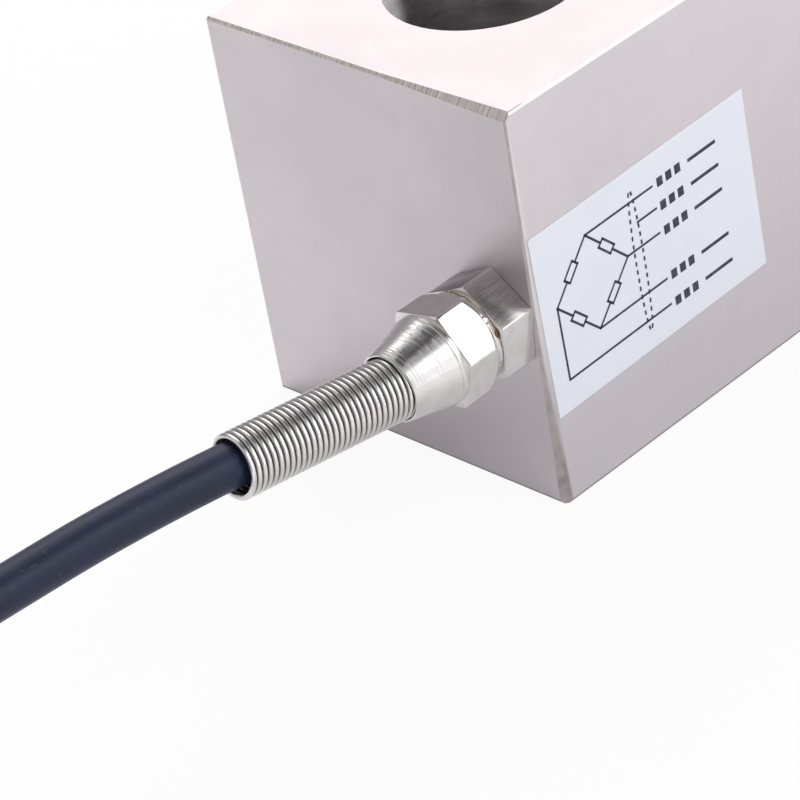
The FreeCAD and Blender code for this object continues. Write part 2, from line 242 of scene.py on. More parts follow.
def satin_plate(tint):
    """Ground and plated steel: soft clouds, fine grinding lines, hand-worn bevels and bored hole walls, with
    painted shade at the foot and down the upright edge, painted highlights on the edges and a painted sheen
    in the holes.
    """
    f = material("satin_plate")
    place = f.place()
    x, y, z = f.axes(place)
    nx, ny, nz = f.axes(f.facing())
    clouds = f.noise(place, 46.0, 3.0, 0.55)
    mottling = f.noise(place, 210.0, 4.0, 0.62)
    lines = f.noise(f.vector("MULTIPLY", place, (60.0, 1500.0, 1500.0)), 1.0, 2.0)
    pits = f.step(f.noise(place, 1500.0, 1.0), 0.74, 0.80)

    warm = graded(tint, 1.01, 1.0, 0.99)
    cool = graded(tint, 0.965, 0.98, 0.985)
    plate = f.mix(f.step(clouds * 0.6 + mottling * 0.4, 0.36, 0.64), warm, cool)
    plate = f.mix(pits * 0.2, plate, shade(tint, 0.55))
    # Painted shade: a dark line along the foot of the sides, where they meet the floor.
    foot = (1 - f.step(z, 0.46 * MM, 0.64 * MM)) * (1 - f.step(nz, 0.5, 0.7))
    plate = f.mix(foot * 0.8, plate, (0.24, 0.225, 0.23))

    # Bevels: fine file ticks on the end's top edge; down the upright edge, metal rubbed down to the steel and
    # painted darker as shade, with a painted sheen beside it.
    end_edge = f.step(abs(nx * nz), 0.2, 0.35) * (1 - f.step(abs(ny), 0.2, 0.4))
    upright_edge = f.step(abs(nx * ny), 0.2, 0.35)
    long_edge = f.step(abs(ny * nz), 0.2, 0.35)
    ticks = f.step(f.ticks(y, 2600.0, 3.0), 0.32, 0.60)
    rubbed = f.step(f.noise(place, 420.0, 4.0, 0.6), 0.35, 0.65)
    filed = f.mix(rubbed, (0.87, 0.80, 0.75), (0.97, 0.91, 0.87))
    plate = f.mix(end_edge, plate, f.mix((1 - ticks) * 0.42, filed, (0.26, 0.22, 0.20)))
    # The rubbed part of the upright edge is widest at the foot, and its painted shade is darkest low down.
    bare_width = 0.25 * MM + (1 - f.step(z, -9 * MM, 22 * MM)) * 1.0 * MM
    bare_and_shade = f.mix(rubbed, (0.41, 0.36, 0.365), (0.59, 0.525, 0.53))
    bare_and_shade = f.mix(f.step(z, 8 * MM, 16 * MM) * 0.5, bare_and_shade, (0.66, 0.60, 0.60))
    # Painted sheen on the rest of the upright edge, lighter in its upper half.
    low_half = 1 - f.step(z, 12 * MM, 30 * MM)
    plated = f.mix(low_half, (0.95, 0.92, 0.92), (0.78, 0.74, 0.745))
    past_bare = x - END_FACE * MM - bare_width
    bare_and_shade = f.mix(f.step(past_bare, -0.05 * MM, 0.06 * MM + low_half * 0.3 * MM), bare_and_shade, plated)
    plate = f.mix(upright_edge, plate, bare_and_shade)
    # Painted highlight: the ragged long top edge is near white.
    plate = f.mix(long_edge, plate, (0.93, 0.91, 0.91))
    # A thin grey line along the top of the long edge near the cable end.
    near_end = 1 - f.step(x, (END_FACE + 2.2) * MM, (END_FACE + 4.2) * MM)
    grey_edge_line = long_edge * near_end * f.step(z, (BEAM_TOP - 0.18) * MM, (BEAM_TOP - 0.1) * MM)
    plate = f.mix(grey_edge_line * 0.7, plate, (0.40, 0.38, 0.38))

    outside = 1
    for middle in HOLES:
        offset = f.vector("SUBTRACT", place, (middle * MM, 0.0, 0.0))
        radius = f.vector("LENGTH", f.vector("MULTIPLY", offset, (1.0, 1.0, 0.0)), output="Value")
        outside = outside * f.step(radius, (HOLE_R + 0.02) * MM, (HOLE_R + 0.1) * MM)
    wall = 1 - outside
    bored = f.step(f.noise(f.vector("MULTIPLY", place, (120.0, 120.0, 420.0)), 1.0, 4.0, 0.6), 0.3, 0.7)
    plate = f.mix(wall, plate, f.mix(bored, (0.50, 0.48, 0.49), (0.80, 0.77, 0.78)))
    # Painted sheen, pale and less metallic, on the part of the walls that faces the far end and the labelled
    # side.
    pale = wall * f.step(nx, 0.14, 0.42) * (1 - f.step(ny, -0.85, -0.1)) * (1 - f.step(abs(nz), 0.1, 0.2))
    plate = f.mix(pale, plate, f.mix(bored, (0.70, 0.67, 0.69), (0.88, 0.86, 0.87)))

    edges = f.math("MAXIMUM", end_edge, upright_edge)
    rough = 0.385 + clouds * 0.10 + mottling * 0.05 + edges * 0.05 - wall * 0.06
    height = lines * 0.35 + mottling * 0.5 + end_edge * ticks * 0.5 + edges * rubbed * 0.4
    return f.surface(
        Base_Color=plate, Metallic=1 - pale * 0.9, Roughness=rough, Normal=f.bump(height, 0.00002))


def bright_plate(tint):
    """Bright plated gland: draw lines along the hexagon bar, lathe lines on the turned cone."""
    f = material("bright_plate")
    place = f.place()
    x = f.axes(place)[0]
    ny, nz = f.axes(f.facing())[1:]
    front, back = END_FACE - NUT_FRONT, END_FACE - NUT_BACK
    turned = 1 - f.step(x, (front - 0.1) * MM, (front + 0.1) * MM)
    body = f.step(x, (back - 0.05) * MM, (back + 0.1) * MM)
    lathe = f.ticks(x, 4600.0, 2.0)
    draw = f.noise(f.vector("MULTIPLY", place, (260.0, 4200.0, 4200.0)), 1.0, 3.0, 0.6)
    dull = f.noise(place, 520.0, 3.0, 0.6)
    marks = f.step(f.noise(place, 1900.0, 2.0), 0.68, 0.76)
    base = f.mix(f.step(dull, 0.35, 0.7), graded(tint, 1.10, 1.07, 1.04), graded(tint, 1.0, 0.955, 0.92))
    base = f.mix(turned * 0.3, base, (0.98, 0.965, 0.955))
    base = f.mix(marks * 0.25, base, (0.34, 0.30, 0.27))
    around = f.math("ARCTAN2", nz, ny)

    def flats(corner):
        """Mask of a hexagon's flats, without its eased edges, from the angle of one corner."""
        return f.step(f.math("COSINE", (around - math.radians(corner + 30)) * 6), 0.6, 0.95)

    streaks = f.step(draw, 0.4, 0.62)
    # Painted shade: the body's flats that face up are darker than the rest, most the one turned away, and a
    # little rougher; the nut's top flat is a little darker too.
    upper = body * f.step(nz, 0.2, 0.6) * flats(BODY_TURN)
    base = f.mix(upper * (0.46 + f.step(ny, 0.0, 0.2) * 0.4 + streaks * 0.25), base, (0.25, 0.225, 0.215))
    nut_top = (1 - body) * (1 - turned) * f.step(nz, 0.8, 0.9) * flats(NUT_TURN)
    base = f.mix(nut_top * (0.16 + streaks * 0.12), base, (0.27, 0.235, 0.20))
    shoulder = f.between(x, (END_FACE - SHOULDER) * MM, back * MM, 0.01 * MM)
    grain = turned * lathe * 7.0 + (1 - turned) * (1 - shoulder) * draw
    rough = 0.09 + dull * 0.05 + draw * 0.06 + body * 0.06 + upper * 0.03 - turned * 0.03
    return f.surface(
        Base_Color=base, Metallic=1.0, Roughness=rough, Normal=f.bump(grain * 0.8 + dull * 0.3, 0.000008))


def drawn_wire(tint, mean_r):
    """Spring wire with drawing marks, brownish painted shade between its turns and nearly black painted shade
    on the side that faces the cable.
    """
    f = material("drawn_wire")
    place = f.place()
    offset = f.vector("SUBTRACT", place, tuple(SPRING_MOUTH))
    along = f.vector("DOT_PRODUCT", offset, tuple(SPRING_AXIS), output="Value")
    foot = f.node("ShaderNodeVectorMath", {"operation": "SCALE"}, {0: tuple(SPRING_AXIS), "Scale": along})
    radius = f.vector("LENGTH", f.vector("SUBTRACT", offset, foot), output="Value")
    last_turn = f.step(along, (SPRING_REACH - 1.1) * MM, (SPRING_REACH - 0.5) * MM)
    # Painted shade: the wire is darkened, brownish, everywhere but the outer crest of each turn, except on
    # the last turn.
    groove = (1 - f.step(radius, mean_r + 0.15 * MM, mean_r + 0.32 * MM)) * (1 - last_turn)
    marks = f.noise(place, 2600.0, 2.0, 0.6)
    smear = f.noise(place, 420.0, 3.0)
    base = f.mix(f.step(smear, 0.35, 0.7), shade(tint, 1.30), graded(tint, 1.22, 1.16, 1.13))
    base = f.mix(groove * 0.85, base, (0.40, 0.36, 0.345))
    # Painted shade: the side of the wire that faces the cable is nearly black, except at the open end.
    inner = 1 - f.step(radius, mean_r - 0.21 * MM, mean_r - 0.05 * MM)
    open_end = f.step(along, (SPRING_REACH - 0.8) * MM, (SPRING_REACH - 0.5) * MM)
    base = f.mix(inner * (1 - open_end), base, (0.03, 0.027, 0.027))
    rough = 0.09 + marks * 0.08 + groove * 0.25
    return f.surface(Base_Color=base, Metallic=1.0, Roughness=rough, Normal=f.bump(marks, 0.000006))


def pressed_sheet(tint):
    """Stainless cover with fine rings from its finishing wheel."""
    f = material("pressed_sheet")
    place = f.place()
    offset = f.vector("MULTIPLY", f.vector("SUBTRACT", place, tuple(COVER_MIDDLE)), (1.0, 0.0, 1.0))
    rings = f.ticks(f.vector("LENGTH", offset, output="Value"), 2600.0, 3.0)
    clouds = f.noise(place, 160.0, 3.0)
    base = f.mix(f.step(clouds, 0.35, 0.65), shade(tint, 1.03), shade(tint, 0.93))
    return f.surface(
        Base_Color=base, Metallic=1.0, Roughness=0.24 + rings * 0.14 + clouds * 0.06,
        Normal=f.bump(rings, 0.00001))


def slate_jacket(tint):
    """Matte cable jacket with a faint bloom, fine scuffs and a soft sheen."""
    f = material("slate_jacket")
    place = f.place()
    bloom = f.noise(place, 130.0, 4.0, 0.6)
    grain = f.noise(place, 4200.0, 2.0)
    scuffs = f.step(f.noise(f.vector("MULTIPLY", place, (500.0, 1700.0, 1700.0)), 1.0, 3.0), 0.62, 0.72)
    base = f.mix(f.step(bloom, 0.3, 0.7), shade(tint, 0.85), shade(tint, 1.15))
    base = f.mix(scuffs * 0.22, base, (0.11, 0.115, 0.14))
    return f.surface(
        Base_Color=base, Roughness=0.40 + bloom * 0.12 + scuffs * 0.1, Specular_IOR_Level=0.4,
        Normal=f.bump(grain * 0.6 + bloom, 0.00001))


def label_film(tint):
    """Printed film, faintly uneven where it is stuck down."""
    f = material("label_film")
    place = f.place()
    ripple = f.noise(place, 75.0, 2.0)
    fibre = f.noise(place, 2400.0, 2.0)
    base = f.mix(f.step(ripple, 0.3, 0.7), tint, graded(tint, 0.985, 0.985, 0.995))
    base = f.mix(f.step(fibre, 0.6, 0.75) * 0.05, base, (0.6, 0.62, 0.68))
    return f.surface(
        Base_Color=base, Roughness=0.38 + ripple * 0.08, Specular_IOR_Level=0.35,
        Normal=f.bump(ripple + fibre * 0.03, 0.00003))


def label_ink(tint):
    """Printed ink, a little thin in places."""
    f = material("label_ink")
    thin = f.noise(f.place(), 900.0, 3.0)
    base = f.mix(f.step(thin, 0.4, 0.75), tint, graded(tint, 3.0, 3.0, 2.6))
    return f.surface(Base_Color=base, Roughness=0.42 + thin * 0.1)


def sealing_compound(tint):
    """Brown sealing compound, beige where it is smeared at the top and nearly black down in the groove."""
    f = material("sealing_compound")
    place = f.place()
    z = f.axes(place)[2]
    smeared = f.step(z, (GLAND_Z + 3.6) * MM, (GLAND_Z + 5.2) * MM)
    lumps = f.noise(place, 700.0, 4.0, 0.65)
    base = f.mix(f.step(lumps, 0.36, 0.56), shade(tint, 0.25), shade(tint, 0.8))
    base = f.mix(smeared * f.step(lumps, 0.32, 0.5), base, (0.60, 0.49, 0.39))
    return f.surface(Base_Color=base, Roughness=0.40 + lumps * 0.2, Normal=f.bump(lumps, 0.00012))


def moulded(name, tint, roughness):
    """Plain moulded or coated material with a fine grain and a slight change of tone."""
    f = material(name)
    place = f.place()
    grain = f.noise(place, 1800.0, 3.0)
    tone = f.noise(place, 240.0, 3.0)
    base = f.mix(f.step(tone, 0.3, 0.7), shade(tint, 0.9), shade(tint, 1.08))
    return f.surface(
        Base_Color=base, Roughness=roughness + grain * 0.12, Normal=f.bump(grain, 0.00001))


def soft_metal(name, tint, roughness):
    """Small metal part with dull spots."""
    f = material(name)
    place = f.place()
    spots = f.noise(place, 1100.0, 3.0)
    base = f.mix(f.step(spots, 0.4, 0.7), tint, shade(tint, 0.8))
    return f.surface(
        Base_Color=base, Metallic=1.0, Roughness=roughness + spots * 0.15, Normal=f.bump(spots, 0.00001))


def dress(finish, *nodes):
    """Gives CAD nodes a finish."""
    for node in nodes:
        for slot in frame["nodes"][node].material_slots:
            slot.material = finish


def piece(name, mesh, finish, slot, *nodes):
    """Makes a finished piece of a mesh and puts it in place of its CAD nodes."""
    mesh.materials.clear()
    mesh.materials.append(finish)
    made = bpy.data.objects.new(name, mesh)
    bpy.context.scene.collection.objects.link(made)
    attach(made, "root")
    if nodes:
        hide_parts(*nodes)
    return made


def evaluated_mesh(source):
    """Plain mesh of an object with its modifiers; the object itself is removed."""
    depsgraph = bpy.context.evaluated_depsgraph_get()
    mesh = bpy.data.meshes.new_from_object(source.evaluated_get(depsgraph))
    bpy.data.objects.remove(source)
    return mesh


def scratch_object(name, data):
    made = bpy.data.objects.new(name, data)
    bpy.context.scene.collection.objects.link(made)
    return made


def spline_curve(name, points, radius):
    """Round curve on one smooth spline with these control points."""
    curve = bpy.data.curves.new(name, "CURVE")
    curve.dimensions = "3D"
    curve.resolution_u = 8
    curve.bevel_depth = radius
    curve.bevel_resolution = 5
    curve.use_fill_caps = True
    spline = curve.splines.new("NURBS")
    spline.points.add(len(points) - 1)
    for target, point in zip(spline.points, points):
        target.co = (*point, 1.0)
    spline.order_u = 3
    spline.use_endpoint_u = True
    return curve


def tube_mesh(points, radius):
    mesh = evaluated_mesh(scratch_object("tube", spline_curve("tube", points, radius)))
    mesh.shade_smooth()
    return mesh


def joined(meshes):
    """One mesh from several."""
    shell = bmesh.new()
    for mesh in meshes:
        shell.from_mesh(mesh)
        bpy.data.meshes.remove(mesh)
    whole = bpy.data.meshes.new("joined")
    shell.to_mesh(whole)
    shell.free()
    return whole


# Stored hank of the cable, in millimetres: its fold centres, lanes, top layer, step down and free end.
FOLD_NEAR_BEAM, FOLD_FAR = -216.75, -319.83
HANK_Y = 6.0
INNER_LANE, OUTER_LANE = 16.5, 22.0
TOP_LAYER, LAYER_STEP = 31.35, 5.5
TAIL_END = Vector((-196.75, 27.8, 4.05))
POINTS_PER_FOLD = 8


def fold_points(far, lane, level, drop):
    """Control points of one fold and of the run's ends at it; they stand a little outside the lane."""
    step = math.pi / POINTS_PER_FOLD
    radius = lane / (0.75 + 0.25 * math.cos(step))
    side = 2 * radius * math.sin(step / 2)
    centre, sign = (FOLD_FAR, -1) if far else (FOLD_NEAR_BEAM, 1)
    points = []
    for index in range(POINTS_PER_FOLD):
        share = (index + 0.5) / POINTS_PER_FOLD
        a = share * math.pi
        points.append((
            centre + sign * radius * math.sin(a), HANK_Y + sign * radius * math.cos(a), level - drop * share))
    first, last = points[0], points[-1]
    before = (first[0] - sign * side, first[1], level)
    after = (last[0] - sign * side, last[1], level - drop)
    return [before, *points, after]


def cable_points():
    """Control points of the cable: out of the gland and spring, onto its hank and down through the layers."""
    points = [
        (-112.0, GLAND_Y, GLAND_Z), tuple(SPRING_MOUTH / MM), (-164.0, -15.15, 28.95),
        (-190.0, -14.2, 29.8), (-210.0, -14.6, 31.0), (-229.0, -16.0, TOP_LAYER),
    ]
    # Two layers at a time: far fold or not, lane, and whether the fold goes down a layer.
    folds = (
        (True, OUTER_LANE, False), (False, INNER_LANE, False), (True, INNER_LANE, True),
        (False, INNER_LANE, False), (True, OUTER_LANE, False), (False, OUTER_LANE, True),
    )
    level = TOP_LAYER
    for far, lane, down in (folds * 3)[:-1]:
        drop = LAYER_STEP if down else 0.0
        points += fold_points(far, lane, level, drop)
        level -= drop
    points += [(FOLD_NEAR_BEAM, 28.0, level), tuple(TAIL_END)]
    return [Vector(p) * MM for p in points]


class LOADCELL_OT_cable(bpy.types.Operator):
    """Lay the cable from the gland to its hank, with its stripped cores and tie"""

    bl_idname = "loadcell.cable"
    bl_label = "Cable"

    def execute(self, context):
        sizes = context.scene.load_cell_sizes
        colours = context.scene.load_cell_colours
        jacket = slate_jacket(colours.jacket)
        curve = spline_curve("cable", cable_points(), sizes.cable / 2)
        curve.materials.append(jacket)
        cable = scratch_object("cable", curve)
        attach(cable, "root")
        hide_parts("cable_run", "cable_hank")

        along = [self.core_points(index, sizes.core / MM) for index in range(5)]
        for points, name in zip(along, ("red", "black", "green", "white", "shield")):
            slot = "core_yellow" if name == "shield" else "core_" + name
            finish = moulded("insulation_" + name, slot_colour(slot), 0.38)
            tube = tube_mesh(points, sizes.core / 2)
            core = piece("stripped_core_" + name, tube, finish, slot, "end_" + name)
            dress(finish, "core_" + name)
        tinned = soft_metal("tinned_copper", slot_colour("tinned_wire"), 0.22)
        tips = []
        for points in along:
            start = points[-1]
            onward = (start - points[-2]).normalized() * sizes.tip_length
            tips.append(tube_mesh([start, start + onward / 2, start + onward], sizes.tip / 2))
        whole = joined(tips)
        whole.shade_smooth()
        piece("tinned_core_ends", whole, tinned, "tinned_wire", "tinned_ends")
        dress(moulded("tie_nylon", slot_colour("tie_black"), 0.35), "hank_tie")
        tuple(cable_points()[0])
        return {"FINISHED"}

    @staticmethod
    def core_points(index, core):
        """Line of one stripped core, from inside the cable's end down to the floor."""
        places = [(1.331, 0.433), (0.823, -1.133), (0.0, 1.4), (-0.823, -1.133), (-1.331, 0.433)]
        across, up = places[index]
        aside = 1.5 * (2 - index)
        start = TAIL_END.z + up
        rest = 0.1 + core / 2
        line = [
            (-core, across, start), (4.8, across, start - core / 2),
            (12.0, (across + aside) / 2, (start + rest) / 2),
            (18.0, aside, rest + core / 8), (24.0, aside, rest),
        ]
        return [Vector((TAIL_END.x + x, TAIL_END.y + y, z)) * MM for x, y, z in line]


def wound_wire_tree():
    """Geometry nodes that wind a round wire into a close coil along Z."""
    tree = bpy.data.node_groups.new("wound_wire", "GeometryNodeTree")
    for name, kind in (
        ("Turns", "NodeSocketFloat"), ("Radius", "NodeSocketFloat"), ("Pitch", "NodeSocketFloat"),
        ("Wire", "NodeSocketFloat"), ("Finish", "NodeSocketMaterial"),
    ):
        tree.interface.new_socket(name, in_out="INPUT", socket_type=kind)
    tree.interface.new_socket("Geometry", in_out="OUTPUT", socket_type="NodeSocketGeometry")
    inputs = tree.nodes.new("NodeGroupInput").outputs
    spiral = tree.nodes.new("GeometryNodeCurveSpiral")
    spiral.inputs["Resolution"].default_value = 40
    rise = tree.nodes.new("ShaderNodeMath")
    rise.operation = "MULTIPLY"
    section = tree.nodes.new("GeometryNodeCurvePrimitiveCircle")
    section.inputs["Resolution"].default_value = 12
    half = tree.nodes.new("ShaderNodeMath")
    half.operation = "MULTIPLY"
    half.inputs[1].default_value = 0.5
    sweep = tree.nodes.new("GeometryNodeCurveToMesh")
    sweep.inputs["Fill Caps"].default_value = True
    smooth = tree.nodes.new("GeometryNodeSetShadeSmooth")
    realize = tree.nodes.new("GeometryNodeRealizeInstances")
    finish = tree.nodes.new("GeometryNodeSetMaterial")
    output = tree.nodes.new("NodeGroupOutput")
    for source, target in (
        (inputs["Turns"], spiral.inputs["Rotations"]),
        (inputs["Radius"], spiral.inputs["Start Radius"]),
        (inputs["Radius"], spiral.inputs["End Radius"]),
        (inputs["Turns"], rise.inputs[0]),
        (inputs["Pitch"], rise.inputs[1]),
        (rise.outputs[0], spiral.inputs["Height"]),
        (inputs["Wire"], half.inputs[0]),
        (half.outputs[0], section.inputs["Radius"]),
        (spiral.outputs[0], sweep.inputs["Curve"]),
        (section.outputs[0], sweep.inputs["Profile Curve"]),
        (sweep.outputs[0], smooth.inputs["Geometry"]),
        (smooth.outputs[0], realize.inputs["Geometry"]),
        (realize.outputs[0], finish.inputs["Geometry"]),
        (inputs["Finish"], finish.inputs["Material"]),
        (finish.outputs[0], output.inputs["Geometry"]),
    ):
        tree.links.new(source, target)
    return tree


def grown(tree, values):
    """Plain mesh that a geometry node tree makes with these named inputs."""
    seed = scratch_object("seed", bpy.data.meshes.new("seed"))
    modifier = seed.modifiers.new("nodes", "NODES")
    modifier.node_group = tree
    for item in tree.interface.items_tree:
        if item.in_out == "INPUT":
            modifier[item.identifier] = values[item.name]
    return evaluated_mesh(seed)


class LOADCELL_OT_spring(bpy.types.Operator):
    """Wind the relief spring over the cable"""

    bl_idname = "loadcell.spring"
    bl_label = "Relief spring"

    def execute(self, context):
        sizes = context.scene.load_cell_sizes
        finish = drawn_wire(context.scene.load_cell_colours.spring, sizes.spring_mean_r)
        tree = wound_wire_tree()
        wire = sizes.wire / MM
        turns = (SPRING_REACH - SPRING_START - wire) / (sizes.pitch / MM)
        values = {"Turns": turns, "Radius": sizes.spring_mean_r, "Pitch": sizes.pitch, "Wire": sizes.wire,
                  "Finish": finish}
        sleeve = grown(tree, values)
        lean = SPRING_AXIS.to_track_quat("Z", "Y").to_matrix().to_4x4()
        base = SPRING_MOUTH + SPRING_AXIS * (SPRING_START + wire / 2) * MM
        sleeve.transform(Matrix.Translation(base) @ lean)
        seat = grown(tree, dict(values, Turns=SEAT_TURNS - 1.0, Radius=sizes.seat_mean_r))
        straight = Vector((-1.0, 0.0, 0.0)).to_track_quat("Z", "Y").to_matrix().to_4x4()
        start = Vector((SEAT_START - wire / 2, SPRING_MOUTH.y / MM, SPRING_MOUTH.z / MM)) * MM
        seat.transform(Matrix.Translation(start) @ straight)
        whole = joined([sleeve, seat])
        whole.shade_smooth()
        piece("wound_spring", whole, finish, "spring_steel", "relief_spring")
        return {"FINISHED"}


def eased_copy(node, width):
    """Copy of a CAD node with its sharp edges eased."""
    shell = bmesh.new()
    shell.from_mesh(frame["nodes"][node].data)
    bmesh.ops.remove_doubles(shell, verts=shell.verts, dist=1e-6)
    bmesh.ops.dissolve_limit(
        shell, angle_limit=math.radians(0.5), verts=shell.verts, edges=shell.edges)
    mesh = bpy.data.meshes.new(node + "_eased")
    shell.to_mesh(mesh)
    shell.free()
    source = scratch_object("eased", mesh)
    bevel = source.modifiers.new("ease", "BEVEL")
    bevel.width = width
    bevel.segments = 2
    bevel.limit_method = "ANGLE"
    bevel.angle_limit = math.radians(24)
    bevel.use_clamp_overlap = False
    eased = evaluated_mesh(source)
    eased.shade_smooth()
    eased.set_sharp_from_angle(angle=math.radians(35))
    return eased


def ring_of_points(shell, outward, radii):
    """One closed row of points round the gland's axis, a radius for each step."""
    row = []
    for index, radius in enumerate(radii):
        a = math.radians(NUT_TURN) + 2 * math.pi * index / len(radii)
        row.append(shell.verts.new(Vector((
            END_FACE - outward, GLAND_Y + radius * math.cos(a), GLAND_Z + radius * math.sin(a))) * MM))
    return row


def closed_rings(rows, shell, name):
    """Mesh of rows that follow each other round a closed section."""
    for first, second in zip(rows, rows[1:] + rows[:1]):
        for k in range(len(first)):
            n = (k + 1) % len(first)
            shell.faces.new((first[k], first[n], second[n], second[k]))
    bmesh.ops.recalc_face_normals(shell, faces=shell.faces)
    mesh = bpy.data.meshes.new(name)
    shell.to_mesh(mesh)
    shell.free()
    mesh.shade_smooth()
    return mesh


def soft_least(*radii, hardness=70):
    """Least of some radii, eased where two of them meet."""
    return sum(r ** -hardness for r in radii) ** (-1 / hardness)


def turned_nut():
    """Cap nut: a hexagon with eased edges and a turned shoulder, then a collar and a cone, bored through."""
    flats = []
    for index in range(POINTS_AROUND):
        a = 2 * math.pi * index / POINTS_AROUND
        near = [math.cos(a - math.radians(30 + 60 * k)) for k in range(6)]
        flats.append(soft_least(*(HEX_FLAT / c for c in near if c > 0.3)))
    shell = bmesh.new()
    rows = []
    shoulder = [
        (NUT_BACK, SHOULDER_R - 0.18), (NUT_BACK + 0.05, SHOULDER_R - 0.05),
        (NUT_BACK + 0.13, SHOULDER_R), (SHOULDER, SHOULDER_R),
    ]
    rows += [ring_of_points(shell, outward, [radius] * POINTS_AROUND) for outward, radius in shoulder]
    for outward in [SHOULDER + 0.01 + 0.05 * k for k in range(26)] + [8.5, 10.0, NUT_FRONT - 0.1]:
        chamfer = SHOULDER_R + 0.04 + outward - SHOULDER
        rows.append(ring_of_points(shell, outward, [soft_least(r, chamfer) for r in flats]))
    rows.append(ring_of_points(shell, NUT_FRONT - 0.03, [r - 0.02 for r in flats]))
    rows.append(ring_of_points(shell, NUT_FRONT, [r - 0.07 for r in flats]))
    slope = (HEX_FLAT - NOSE_R) / (NOSE - COLLAR_END)
    profile = [
        (NUT_FRONT, COLLAR_R + 0.04), (NUT_FRONT + 0.04, COLLAR_R),
        (COLLAR_END - 0.10, COLLAR_R), (COLLAR_END - 0.02, COLLAR_R - 0.03),
        (COLLAR_END + 0.06, COLLAR_R - 0.10), (COLLAR_END + 0.12, COLLAR_R - 0.02),
        *((COLLAR_END + run, CONE_R - run * slope) for run in (0.2, 2.2, 4.2)),
        (NOSE - 0.12, NOSE_R + 0.06), (NOSE - 0.04, NOSE_R), (NOSE, NOSE_R - 0.08),
        (NOSE, MOUTH_R), (NOSE - 0.05, MOUTH_R - 0.04), (SEAT, SEAT_R), (SEAT, BORE_R), (NUT_BACK, BORE_R),
    ]
    rows += [ring_of_points(shell, outward, [radius] * POINTS_AROUND) for outward, radius in profile]
    mesh = closed_rings(rows, shell, "turned_nut")
    mesh.set_sharp_from_angle(angle=math.radians(38))
    return mesh


def squeezed_ring():
    """Bead of sealing compound between the gland's two hexagons, squeezed out over the shoulder."""
    count = 180
    smear_at, smear_spread, lump_at, lump_spread = 95, 32, 158, 9
    top, front = [], []
    for index in range(count):
        a = 2 * math.pi * index / count
        fine = noise.noise(Vector((math.cos(a) * 9.0, math.sin(a) * 9.0, 4.0)))
        angle = math.degrees(a) + NUT_TURN
        smear = max(0.0, 1 - ((angle - smear_at) / smear_spread) ** 2)
        lump = max(0.0, 1 - ((angle - lump_at) / lump_spread) ** 2)
        top.append(BEAD_OUTER_R + 0.36 * smear + 0.30 * lump + 0.08 * fine)
        front.append(GROOVE_FRONT + smear * (0.30 + 0.25 * fine) + 0.42 * lump)
    under = [min(SHOULDER_R + 0.01, r - 0.12) for r in top]
    bottom = [BEAD_INNER_R] * count
    middle = [GROOVE_BACK + 0.45 * (x - GROOVE_BACK) for x in front]
    back_wall = [GROOVE_BACK] * count
    front_wall = [GROOVE_FRONT - 0.01] * count
    sections = (
        (back_wall, bottom), (back_wall, [r - 0.08 for r in top]), (middle, [r + 0.01 for r in top]),
        (front, [r - 0.10 for r in top]), (front, under), (front_wall, under), (front_wall, bottom),
    )
    shell = bmesh.new()
    rows = []
    for stations, radii in sections:
        row = ring_of_points(shell, 0.0, radii)
        for point, outward in zip(row, stations):
            point.co.x = (END_FACE - outward) * MM
        rows.append(row)
    return closed_rings(rows, shell, "squeezed_sealant")


class LOADCELL_OT_gland(bpy.types.Operator):
    """Finish the cable gland: its two hexagons with eased edges, the sealant and the rings inside"""

    bl_idname = "loadcell.gland"
    bl_label = "Cable gland"

    def execute(self, context):
        sizes = context.scene.load_cell_sizes
        colours = context.scene.load_cell_colours
        plate = bright_plate(colours.gland)
        body = eased_copy("gland_body", sizes.edge_ease)
        piece("eased_gland_body", body, plate, "gland_metal", "gland_body")
        piece("turned_gland_nut", turned_nut(), plate, "gland_metal", "gland_nut")
        compound = sealing_compound(colours.sealant)
        piece("squeezed_sealant", squeezed_ring(), compound, "thread_sealant", "thread_sealant")
        dress(moulded("seal_rubber", slot_colour("gland_rubber"), 0.6), "gland_seal")
        dress(soft_metal("plain_brass", slot_colour("washer_brass"), 0.25), "gland_washer")
        return {"FINISHED"}


class LOADCELL_OT_beam(bpy.types.Operator):
    """Finish the beam, its pocket covers and the gauges, board and leads inside"""

    bl_idname = "loadcell.beam"
    bl_label = "Beam"

    def execute(self, context):
        colours = context.scene.load_cell_colours
        dress(satin_plate(colours.beam), "beam_body")
        dress(pressed_sheet(colours.cover), "near_cover", "far_cover")
        dress(moulded("amber_film", slot_colour("gauge_film"), 0.25), "near_gauge", "far_gauge")
        dress(moulded("silicone", slot_colour("coating_silicone"), 0.5), "near_coating", "far_coating")
        dress(soft_metal("tinned_pins", slot_colour("tinned_wire"), 0.25), "near_gauge_pins")
        dress(moulded("lead_insulation", slot_colour("core_white"), 0.4), "far_gauge_leads")
        dress(moulded("green_board", slot_colour("board_green"), 0.35), "bridge_board")
        dress(moulded("lacquered_ceramic", slot_colour("resistor_ceramic"), 0.3), "trim_resistors")
        return {"FINISHED"}


